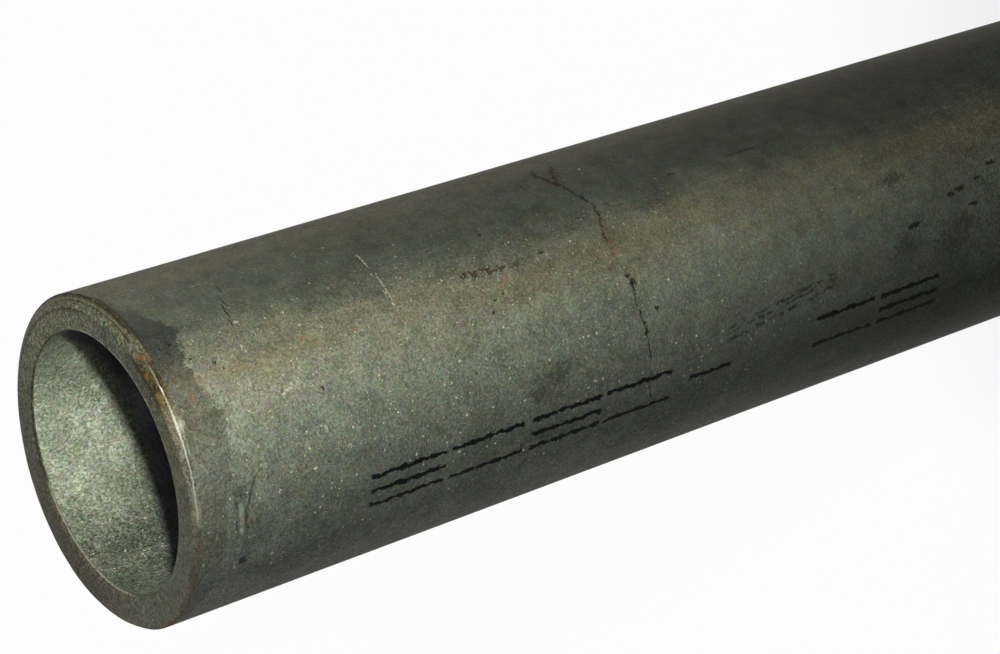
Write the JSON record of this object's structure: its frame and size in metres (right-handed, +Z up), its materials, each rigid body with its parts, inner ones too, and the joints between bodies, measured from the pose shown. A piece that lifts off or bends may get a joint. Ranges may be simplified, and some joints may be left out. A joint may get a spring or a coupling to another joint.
{
  "type": "galvanized steel pipe",
  "caption": "Short length of galvanized steel pipe: a plain round tube with bevelled ends, standing on one of them.",
  "frame": {"origin": "on the floor, on the pipe's axis, in the plane of the bottom end face", "axes": "+Z up along the pipe from the bottom end to the top end, whose bevel and reamed ring are centred a little towards -X; +Y completes a right-handed frame"},
  "size_m": [0.027, 0.0268, 0.15],
  "materials": {
    "galvanized_steel": "matte"
  },
  "bodies": {
    "root": {"pipe": "galvanized_steel"}
  },
  "joints": []
}
